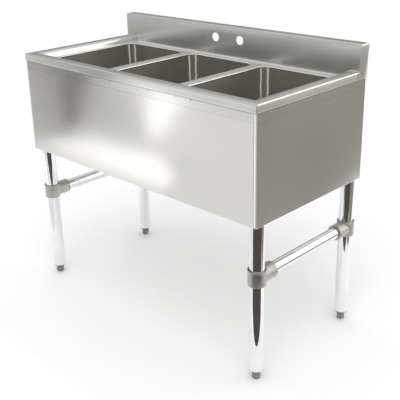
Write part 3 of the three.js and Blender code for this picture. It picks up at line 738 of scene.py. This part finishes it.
def backsplash():
    """The bent splash with its two faucet holes, the fillet at its foot and beads over the rim."""
    section = bent_sheet(
        [
            (BACK, SPLASH_TOP - SPLASH_FLANGE),
            (BACK, SPLASH_TOP),
            (SPLASH_FACE, SPLASH_TOP),
            (SPLASH_FACE, BAND_BOTTOM),
        ],
        (SPLASH_BACK_BEND, SPLASH_FRONT_BEND),
    )
    bm = bmesh.new()
    prism(bm, section, along_x, -HALF_WIDTH, HALF_WIDTH)
    piece = new_object("splash_sheet", bm)
    for side in (-1, 1):
        x = side * FAUCET_SPACING / 2
        tool = rod(
            FAUCET_HOLE_RADIUS,
            (x, SPLASH_FACE - 10 * MM, FAUCET_HEIGHT),
            (x, SPLASH_FACE + 10 * MM, FAUCET_HEIGHT),
        )
        boolean(piece, tool, "DIFFERENCE")
    bm = bmesh.new()
    bm.from_mesh(piece.data)
    bpy.data.objects.remove(piece)
    foot = SPLASH_FACE - COVE_BEND
    fillet = [
        (SPLASH_FACE + SHEET / 2, DECK_TOP - SHEET / 2),
        (foot, DECK_TOP - SHEET / 2),
        *arc(foot, DECK_TOP + COVE_BEND, COVE_BEND, 270, 360, 8),
        (SPLASH_FACE + SHEET / 2, DECK_TOP + COVE_BEND),
    ]
    reach = HALF_WIDTH - rim_profile()[-1][0]
    prism(bm, fillet, along_x, -reach, reach)
    for side in (-1, 1):
        over_rim = [
            Vector((side * (HALF_WIDTH - inset), SPLASH_FACE - WELD_RADIUS / 2, z))
            for inset, z in rim_profile()[1 + BAND_BEND_STEPS:]
        ]
        bead(bm, over_rim, WELD_RADIUS)
    return new_object("splash_sheet", bm)


def end_cap(side, name):
    low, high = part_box(f"splash_end_cap_{name}")
    front_bend = SPLASH_FRONT_BEND - SHEET - GAP
    back_bend = SPLASH_BACK_BEND - SHEET - GAP
    outline = [
        (low.y, low.z),
        (high.y, low.z),
        *arc(high.y - back_bend, high.z - back_bend, back_bend, 0, 90, 8),
        *arc(low.y + front_bend, high.z - front_bend, front_bend, 90, 180, 6),
    ]
    bm = bmesh.new()
    prism(bm, outline, along_x, low.x, high.x)
    piece = new_object(f"splash_cap_{name}", bm)
    bevel(piece, 0.3 * MM, 2, 60)
    smooth(piece)
    return piece


# Bowls


def bowl(name):
    x = BOWL_X[name]
    floor = BOWL_FLOOR + BOWL_FALL
    bm = bmesh.new()
    rings = [bowl_ring(x, 0.0, DECK_TOP - BOWL_EDGE), bowl_ring(x, 0.0, floor + BOWL_COVE)]
    for inset, lift in arc(BOWL_COVE, BOWL_COVE, BOWL_COVE, 180, 270, 8)[1:]:
        rings.append(bowl_ring(x, -inset, floor + lift))
    edge = [Vector(p) for p in rings[-1]]
    middle = Vector((x, BOWL_MIDDLE, BOWL_FLOOR))
    hole = [(p - middle).to_2d().normalized() * DRAIN_HOLE_RADIUS for p in edge]
    for share in (0.25, 0.5, 0.75, 1.0):
        rings.append([
            p.lerp(middle + Vector((h.x, h.y, 0.0)), share) for p, h in zip(edge, hole)
        ])
    loft(bm, rings)
    piece = new_object(f"bowl_shell_{name}", bm, 50)
    solidify = piece.modifiers.new("sheet", "SOLIDIFY")
    solidify.thickness = SHEET
    solidify.offset = 1
    apply_modifiers(piece)
    smooth(piece, 50)
    return piece


# Aprons


def front_apron():
    low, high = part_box("front_apron")
    inner = low.y + HEM_RETURN
    section = bent_sheet(
        [
            (inner, low.z + HEM_LIP),
            (inner, low.z),
            (low.y, low.z),
            (low.y, CREASE),
            (low.y + CREASE_LEAN, BAND_BOTTOM),
            (low.y + CREASE_LEAN, high.z),
        ],
        (APRON_BEND, APRON_BEND, 60 * MM, 10 * MM),
        -SHEET,
    )
    bm = bmesh.new()
    prism(bm, section, along_x, low.x, high.x)
    return new_object("front_panel", bm)


def side_apron(side, name):
    low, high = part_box(f"side_apron_{name}")
    face = high.x if side > 0 else low.x
    plan = bent_sheet(
        [
            (face - side * APRON_CORNER_WRAP, low.y),
            (face, low.y),
            (face, high.y),
            (face - side * APRON_BACK_RETURN, high.y),
        ],
        (APRON_BEND, APRON_BEND),
        SHEET * side,
    )
    inner = face - side * HEM_RETURN
    hem = bent_sheet(
        [
            (face, low.z + APRON_BEND * 1.02),
            (face, low.z),
            (inner, low.z),
        ],
        (APRON_BEND,),
        -SHEET * side,
    )
    bm = bmesh.new()
    prism(bm, plan, along_z, low.z + APRON_BEND, high.z)
    prism(bm, hem, along_y, low.y + APRON_BEND, high.y - APRON_BEND)
    return new_object(f"side_panel_{name}", bm)


# Legs, crossbars, tees and feet


def leg(name):
    low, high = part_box(f"leg_{name}")
    middle = (low + high) / 2
    outer = (high.x - low.x) / 2
    inner = outer - LEG_WALL
    ease = 0.4 * MM
    bm = bmesh.new()
    turned(
        bm,
        [
            (outer - ease, low.z),
            (outer, low.z + ease),
            (outer, high.z - ease),
            (outer - ease, high.z),
            (inner, high.z),
            (inner, low.z),
        ],
        Vector((middle.x, middle.y, 0.0)),
    )
    return new_object(f"leg_tube_{name}", bm)


def crossbar(name):
    low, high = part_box(f"crossbar_{name}")
    middle = (low + high) / 2
    radius = (high.x - low.x) / 2
    start = (middle.x, low.y, middle.z)
    end = (middle.x, high.y, middle.z)
    tube = rod(radius, start, end)
    tube.name = f"crossbar_tube_{name}"
    reach = Vector((0.0, MM, 0.0))
    boolean(tube, rod(radius - LEG_WALL, Vector(start) - reach, Vector(end) + reach), "DIFFERENCE")
    smooth(tube)
    return tube


def tee_shape():
    """A tee at the origin with its branch along +Y."""
    low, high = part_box("tee_front_left")
    leg_low, leg_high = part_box("leg_front_left")
    bar_low, bar_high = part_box("crossbar_left")
    leg_y = (leg_low.y + leg_high.y) / 2
    half = (high.z - low.z) / 2
    outer = (high.x - low.x) / 2 - TEE_LIP
    reach = high.y - leg_y
    branch = outer - TEE_BRANCH_STEP
    bm = bmesh.new()
    turned(
        bm,
        [
            (0.0, -half),
            (outer - 1 * MM, -half),
            (outer, -half + 1 * MM),
            (outer, half - TEE_LIP_HEIGHT),
            (outer + TEE_LIP, half - TEE_LIP_HEIGHT),
            (outer + TEE_LIP, half),
            (0.0, half),
        ],
        Vector(),
        closed=False,
    )
    tee = new_object("tee", bm)
    boolean(tee, rod(branch, (0, 0, 0), (0, reach, 0)), "UNION")
    boolean(tee, rod(branch + TEE_LIP, (0, reach - TEE_LIP_HEIGHT, 0), (0, reach, 0)), "UNION")
    remesh = tee.modifiers.new("skin", "REMESH")
    remesh.mode = "VOXEL"
    remesh.voxel_size = TEE_GRAIN
    soften = tee.modifiers.new("soften", "SMOOTH")
    soften.factor = 0.5
    soften.iterations = 5
    apply_modifiers(tee)
    leg_bore = (leg_high.x - leg_low.x) / 2 + TUBE_CLEARANCE
    bar_bore = (bar_high.x - bar_low.x) / 2 + TUBE_CLEARANCE
    bar_start = bar_low.y - leg_y - 1 * MM
    screw_low, screw_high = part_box("tee_bar_screw_front_left")
    screw_y = (screw_low.y + screw_high.y) / 2 - leg_y
    boolean(tee, rod(leg_bore, (0, 0, -2 * half), (0, 0, 2 * half)), "DIFFERENCE")
    mouth = bmesh.new()
    turned(
        mouth,
        [
            (0.0, half - TEE_MOUTH_DEPTH),
            (leg_bore, half - TEE_MOUTH_DEPTH),
            (outer - MM, half),
            (outer - MM, half + MM),
            (0.0, half + MM),
        ],
        Vector(),
        closed=False,
    )
    boolean(tee, new_object("mouth", mouth), "DIFFERENCE")
    boolean(tee, rod(bar_bore, (0, bar_start, 0), (0, reach + 5 * MM, 0)), "DIFFERENCE")
    leg_screw_hole = rod(SCREW_HOLE_RADIUS, (0, outer - 8 * MM, 0), (0, outer + 8 * MM, 0), 32)
    boolean(tee, leg_screw_hole, "DIFFERENCE")
    bar_screw_hole = rod(SCREW_HOLE_RADIUS, (0, screw_y, -outer - 5 * MM), (0, screw_y, 0), 32)
    boolean(tee, bar_screw_hole, "DIFFERENCE")
    smooth(tee, 40)
    return tee


def tee(name, shape):
    """A copy of the tee, mirrored so that its branch points at the other leg on its side."""
    low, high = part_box(f"tee_{name}")
    leg_low, leg_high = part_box(f"leg_{name}")
    middle = (leg_low + leg_high) / 2
    inward = -math.copysign(1, middle.y)
    side = -math.copysign(1, middle.x)
    mesh = shape.data.copy()
    mesh.transform(Matrix.Diagonal((side, inward, 1.0, 1.0)))
    if side * inward < 0:
        mesh.flip_normals()
    mesh.transform(Matrix.Translation((middle.x, middle.y, (low.z + high.z) / 2)))
    piece = bpy.data.objects.new(f"tee_casting_{name}", mesh)
    bpy.context.scene.collection.objects.link(piece)
    return piece


def leg_plug(name):
    low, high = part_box(f"leg_plug_{name}")
    leg_low, leg_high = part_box(f"leg_{name}")
    middle = (low + high) / 2
    outer = (high.x - low.x) / 2
    tube = outer - LEG_WALL - GAP
    shoulder = leg_low.z - GAP
    bm = bmesh.new()
    turned(
        bm,
        [
            (PLUG_BORE, low.z),
            (PLUG_TIP_RADIUS, low.z),
            (PLUG_TIP_RADIUS + 0.6 * MM, low.z + 0.3 * MM),
            (outer - 0.5 * MM, shoulder - 1.2 * MM),
            (outer, shoulder - 0.5 * MM),
            (outer, shoulder),
            (tube, shoulder),
            (tube, high.z),
            (PLUG_BORE, high.z),
        ],
        Vector((middle.x, middle.y, 0.0)),
    )
    return new_object(f"leg_end_{name}", bm, 25)


def foot(name):
    low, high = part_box(f"foot_{name}")
    middle = (low + high) / 2
    stem_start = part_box(f"leg_plug_{name}")[0].z - GAP
    flats = high.y - low.y
    corner = max(high.x - low.x, flats) / 2
    centre = Vector((middle.x, middle.y, 0.0))
    bm = bmesh.new()
    turned(
        bm,
        [
            (0.0, 0.0),
            (corner - 3 * MM, 0.0),
            (corner, FOOT_POINT),
            (corner, stem_start),
            (0.0, stem_start),
        ],
        centre,
        6,
        closed=False,
    )
    piece = new_object(f"foot_screw_{name}", bm)
    bevel(piece, 0.5 * MM, 3)
    bm = bmesh.new()
    bm.from_mesh(piece.data)
    bpy.data.objects.remove(piece)
    steps = 40
    rows = int((high.z - stem_start) / THREAD_PITCH * THREAD_ROWS)
    rings = []
    for row in range(rows + 1):
        z = stem_start - 1 * MM + (high.z - stem_start + 1 * MM) * row / rows
        ring = []
        for i in range(steps):
            turn = i / steps
            phase = (z / THREAD_PITCH - turn) % 1.0
            r = STEM_RADIUS - THREAD_DEPTH * abs(2 * phase - 1)
            angle = 2 * math.pi * turn
            ring.append((centre.x + r * math.cos(angle), centre.y + r * math.sin(angle), z))
        rings.append(ring)
    threads = loft(bm, rings)
    bm.faces.new(threads[0][::-1])
    bm.faces.new(threads[-1])
    return new_object(f"foot_screw_{name}", bm, 30)


# Drains


def drain_centre(name):
    return Vector((BOWL_X[name], BOWL_MIDDLE, 0.0))


def drain_body(name):
    low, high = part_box(f"drain_body_{name}")
    top = BOWL_FLOOR + GAP
    cup = CUP_RADIUS
    wall = CUP_WALL
    outlet = OUTLET_RADIUS
    flange = (high.x - low.x) / 2
    cup_bottom = top - CUP_DEPTH
    inner = cup - wall
    seat = top - SEAT_DROP
    seat_inner = inner - SEAT_WIDTH
    profile = [
        (outlet, low.z),
        *arc(outlet + 3 * MM, cup_bottom + 1.5 * MM, 3 * MM, 180, 115, 4),
        *arc(cup - 3 * MM, cup_bottom + 16 * MM, 3 * MM, -50, 0, 4),
        (cup, top),
        (flange - 0.4 * MM, top),
        (flange, top + 0.4 * MM),
        *arc(flange - 1.2 * MM, high.z - 1.2 * MM, 1.2 * MM, 20, 90, 4),
        *arc(inner + 3 * MM, high.z - 3 * MM, 3 * MM, 90, 180, 6),
        (inner, seat),
        (seat_inner, seat),
        *arc(seat_inner - 4 * MM, cup_bottom + 19 * MM, 4 * MM, 0, -50, 4),
        *arc(outlet - wall + 2 * MM, cup_bottom + 3 * MM, 2 * MM, 130, 180, 3),
        (outlet - wall, low.z),
    ]
    bm = bmesh.new()
    turned(bm, profile, drain_centre(name))
    return new_object(f"drain_cup_{name}", bm, 30)


def basket(name):
    low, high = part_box(f"strainer_basket_{name}")
    lip = (high.x - low.x) / 2
    floor = low.z
    seat = floor + BASKET_DEPTH
    wall = BASKET_WALL_RADIUS
    post = POST_RADIUS
    knob = KNOB_RADIUS
    profile = [
        (0.0, floor),
        *arc(wall - 3 * MM, floor + 3 * MM, 3 * MM, -90, 0, 5),
        (wall, seat),
        (lip - 0.4 * MM, seat),
        *arc(lip - 0.6 * MM, seat + 0.6 * MM, 0.6 * MM, -90, 90, 4),
        *arc(wall - SHEET + 1.2 * MM, seat, 1.2 * MM, 90, 180, 4),
        *arc(wall - 3.2 * MM, floor + 3.2 * MM, 2 * MM, 0, -90, 4),
        (post + 2 * MM, floor + SHEET),
        *arc(post + 2 * MM, floor + SHEET + 2 * MM, 2 * MM, 270, 180, 4),
        (post, seat + 5.5 * MM),
        *arc(knob - 1.5 * MM, seat + 11 * MM, 1.5 * MM, -60, 60, 5),
        *arc(knob - 3 * MM, high.z - 1.5 * MM, 1.5 * MM, 50, 90, 3),
        (0.0, high.z),
    ]
    bm = bmesh.new()
    turned(bm, profile, drain_centre(name), closed=False)
    piece = new_object(f"basket_{name}_fine", bm, 30)
    centre = drain_centre(name)
    for i in range(PIERCING_COUNT):
        angle = 2 * math.pi * i / PIERCING_COUNT
        x = centre.x + PIERCING_CIRCLE * math.cos(angle)
        y = centre.y + PIERCING_CIRCLE * math.sin(angle)
        tool = rod(PIERCING_RADIUS, (x, y, floor - MM), (x, y, floor + 3 * MM), 32)
        boolean(piece, tool, "DIFFERENCE")
    smooth(piece, 30)
    return piece


# Build
stand_for(top_deck(), "top_deck", grain_rim)
stand_for(backsplash(), "backsplash", grain_level)
stand_for(front_apron(), "front_apron", grain_along(0))
for name, side in (("left", -1), ("right", 1)):
    stand_for(end_cap(side, name), f"splash_end_cap_{name}", grain_level)
    stand_for(side_apron(side, name), f"side_apron_{name}", grain_level)
    stand_for(refined_copy(f"leg_channel_{name}"), f"leg_channel_{name}", grain_along(1))
    stand_for(crossbar(name), f"crossbar_{name}", grain_along(1))
for name in BOWLS:
    stand_for(bowl(name), f"bowl_{name}", grain_level)
    stand_for(drain_body(name), f"drain_body_{name}", grain_level)
    stand_for(basket(name), f"strainer_basket_{name}", grain_level)
    stand_for(refined_copy(f"drain_locknut_{name}"), f"drain_locknut_{name}")
    stand_for(refined_copy(f"drain_washer_{name}"), f"drain_washer_{name}")
pattern = tee_shape()
for name in LEGS:
    stand_for(leg(name), f"leg_{name}", grain_along(2))
    stand_for(tee(name, pattern), f"tee_{name}")
    stand_for(leg_plug(name), f"leg_plug_{name}", material=FOOT_METAL)
    stand_for(foot(name), f"foot_{name}", material=FOOT_METAL)
    for node in ("leg_socket", "socket_screw", "tee_leg_screw", "tee_bar_screw"):
        stand_for(refined_copy(f"{node}_{name}"), f"{node}_{name}", grain_along(2))
bpy.data.objects.remove(pattern)


# Studio: floor, soft light, camera

FLOOR_SIZE = 60.0
FLOOR_COLOUR = (0.93, 0.93, 0.93, 1.0)
FLOOR_ROUGHNESS = 0.6
SUN_DIRECTION = (-0.35, 0.45, -0.82)
SUN_STRENGTH = 0.7
SUN_SPREAD = 50

# The camera, solved with the object's size, in metres, degrees and a lens in millimetres
CAMERA_PLACE = (1.5146, -1.4822, 1.2347)
CAMERA_YAW = 44.634
CAMERA_PITCH = -20.263
CAMERA_ROLL = -1.270
CAMERA_LENS = 64.755
CAMERA_SHIFT = (0.005, -0.085)

# What polished faces mirror of the surroundings, by height: 0 is the horizon and 1 straight up
STUDIO_SKY = (
    (0.0, (0.10, 0.095, 0.088)),
    (0.2, (0.25, 0.245, 0.235)),
    (0.55, (0.8, 0.8, 0.8)),
    (1.0, (0.65, 0.65, 0.65)),
)


# Cards that lie on the floor in front and only polished faces see, each with its corners and tone.
# They are placed to repeat the streaks that the photograph shows in the front panel.
FRONT_FLOOR = (
    (((0.25, -0.56), (-0.95, -2.9), (-5.0, -5.6), (-5.0, -0.56)), (0.84, 0.84, 0.83)),
    (
        ((-0.62, -1.10), (-1.30, -1.48), (-2.75, -2.45), (-5.0, -4.2), (-5.0, -2.8), (-1.45, -0.85)),
        (0.58, 0.58, 0.565),
    ),
    (((-1.75, -1.35), (-2.85, -2.3), (-5.0, -4.0), (-5.0, -2.8), (-1.45, -0.85)), (0.26, 0.26, 0.245)),
    (((-1.68, -1.22), (-3.0, -2.32), (-5.0, -3.8), (-5.0, -3.3), (-1.47, -0.98)), (0.10, 0.092, 0.082)),
    (((-1.36, -0.93), (-5.0, -3.42), (-5.0, -0.93)), (0.48, 0.48, 0.47)),
    (((-1.15, -1.38), (-1.30, -1.43), (-2.45, -2.50), (-2.10, -2.55)), (1.75, 1.75, 1.73)),
    (((-1.60, -0.90), (-1.42, -1.14), (-0.95, -1.20), (-0.66, -1.02), (-0.62, -0.90)), (1.5, 1.5, 1.49)),
    (((-3.5, -2.78), (-3.5, -3.5), (-8.0, -6.5), (-8.0, -2.78)), (0.22, 0.22, 0.205)),
    (((-2.60, -2.62), (-2.10, -2.62), (-1.90, -3.4), (-2.70, -3.4)), (1.0, 1.0, 0.98)),
    (((-2.10, -2.62), (-1.20, -2.62), (-1.0, -3.6), (-1.90, -3.6)), (0.42, 0.42, 0.41)),
)


def floor_plane():
    bm = bmesh.new()
    half = FLOOR_SIZE / 2
    corners = [(-half, -half, 0), (half, -half, 0), (half, half, 0), (-half, half, 0)]
    bm.faces.new([bm.verts.new(c) for c in corners])
    plane = new_object("floor", bm)
    material = bpy.data.materials.new("floor")
    material.use_nodes = True
    shader = material.node_tree.nodes["Principled BSDF"]
    shader.inputs["Base Color"].default_value = FLOOR_COLOUR
    shader.inputs["Roughness"].default_value = FLOOR_ROUGHNESS
    plane.data.materials.append(material)


def sun_light(name, direction, strength, spread):
    """Soft light from one side. It lights the floor, and polished faces don't mirror it."""
    light = bpy.data.lights.new(name, "SUN")
    light.energy = strength
    light.angle = math.radians(spread)
    lamp = bpy.data.objects.new(name, light)
    lamp.rotation_euler = Vector(direction).to_track_quat("-Z", "Y").to_euler()
    lamp.visible_glossy = False
    bpy.context.scene.collection.objects.link(lamp)


def world_light():
    """White to the camera and to matt surfaces. Polished ones mirror a studio that is dark at
    the horizon and bright overhead."""
    world = bpy.data.worlds.new("studio")
    bpy.context.scene.world = world
    world.use_nodes = True
    tree = world.node_tree
    nodes, links = tree.nodes, tree.links
    nodes.clear()
    place = nodes.new("ShaderNodeTexCoord")
    split = nodes.new("ShaderNodeSeparateXYZ")
    ramp = nodes.new("ShaderNodeValToRGB")
    ramp.color_ramp.interpolation = "EASE"
    stops = ramp.color_ramp.elements
    stops.remove(stops[1])
    stops[0].color = (*STUDIO_SKY[0][1], 1.0)
    for height, colour in STUDIO_SKY[1:]:
        stops.new(height).color = (*colour, 1.0)
    seen = nodes.new("ShaderNodeLightPath")
    choose = nodes.new("ShaderNodeMix")
    choose.data_type = "RGBA"
    choose.inputs[6].default_value = (1.0, 1.0, 1.0, 1.0)
    shine = nodes.new("ShaderNodeBackground")
    out = nodes.new("ShaderNodeOutputWorld")
    links.new(place.outputs["Generated"], split.inputs[0])
    links.new(split.outputs["Z"], ramp.inputs["Fac"])
    links.new(seen.outputs["Is Glossy Ray"], choose.inputs[0])
    links.new(ramp.outputs["Color"], choose.inputs[7])
    links.new(choose.outputs[2], shine.inputs["Color"])
    links.new(shine.outputs[0], out.inputs["Surface"])


def reflection_card(name, corners, colour):
    """A flat card that only polished faces see."""
    bm = bmesh.new()
    bm.faces.new([bm.verts.new(corner) for corner in corners])
    card = new_object(name, bm)
    card.visible_camera = False
    card.visible_diffuse = False
    card.visible_shadow = False
    material = bpy.data.materials.new(name)
    material.use_nodes = True
    nodes = material.node_tree.nodes
    glow = nodes.new("ShaderNodeEmission")
    glow.inputs["Color"].default_value = (*colour, 1.0)
    material.node_tree.links.new(glow.outputs[0], nodes["Material Output"].inputs["Surface"])
    card.data.materials.append(material)


def reflection_cards():
    """Dark floor on the viewer's side, dull floor beyond the right end, streaked floor in front,
    and two bright walls behind to the right, one low and one high."""
    dull_level = 1 * MM
    dark_level = 2 * MM
    streak_level = 3 * MM
    reflection_card(
        "viewer_side",
        [
            (0.30, -0.58, dark_level),
            (-1.52, -4.14, dark_level),
            (3.0, -5.0, dark_level),
            (4.66, 0.9, dark_level),
            (0.80, -0.14, dark_level),
        ],
        (0.085, 0.072, 0.062),
    )
    reflection_card(
        "right_floor",
        [
            (1.0, 0.0, dull_level),
            (8.0, 0.0, dull_level),
            (8.0, 8.0, dull_level),
            (1.0, 8.0, dull_level),
        ],
        (0.275, 0.262, 0.24),
    )
    reflection_card(
        "back_wall",
        [(1.8, 5.5, 0.3), (5.5, 1.8, 0.3), (5.5, 1.8, 2.6), (1.8, 5.5, 2.6)],
        (2.0, 1.93, 1.75),
    )
    reflection_card(
        "high_wall",
        [(0.4, 3.0, 2.1), (3.6, 3.0, 2.1), (3.6, 3.0, 4.6), (0.4, 3.0, 4.6)],
        (1.9, 1.87, 1.75),
    )
    for index, (corners, tone) in enumerate(FRONT_FLOOR):
        level = streak_level + index * MM
        card = [(x, y, level) for x, y in corners]
        reflection_card(f"front_floor_{index + 1}", card, tone)


def camera(location, yaw, pitch, roll, lens, shift_x, shift_y):
    """A camera looking along yaw (left of +Y) and pitch, rolled round its own line of sight."""
    yaw, pitch, roll = map(math.radians, (yaw, pitch, roll))
    ahead = Vector((-math.sin(yaw) * math.cos(pitch), math.cos(yaw) * math.cos(pitch), math.sin(pitch)))
    level = Vector((math.cos(yaw), math.sin(yaw), 0.0))
    upright = level.cross(ahead)
    right = level * math.cos(roll) + upright * math.sin(roll)
    up = upright * math.cos(roll) - level * math.sin(roll)
    data = bpy.data.cameras.new("camera")
    data.lens = lens
    data.sensor_width = 36
    data.shift_x = shift_x
    data.shift_y = shift_y
    eye = bpy.data.objects.new("camera", data)
    turn = Matrix((right, up, -ahead)).transposed().to_4x4()
    eye.matrix_world = Matrix.Translation(location) @ turn
    bpy.context.scene.collection.objects.link(eye)
    bpy.context.scene.camera = eye


floor_plane()
world_light()
sun_light("sun", SUN_DIRECTION, SUN_STRENGTH, SUN_SPREAD)
reflection_cards()
camera(CAMERA_PLACE, CAMERA_YAW, CAMERA_PITCH, CAMERA_ROLL, CAMERA_LENS, *CAMERA_SHIFT)

bpy.context.scene.view_settings.view_transform = "Standard"
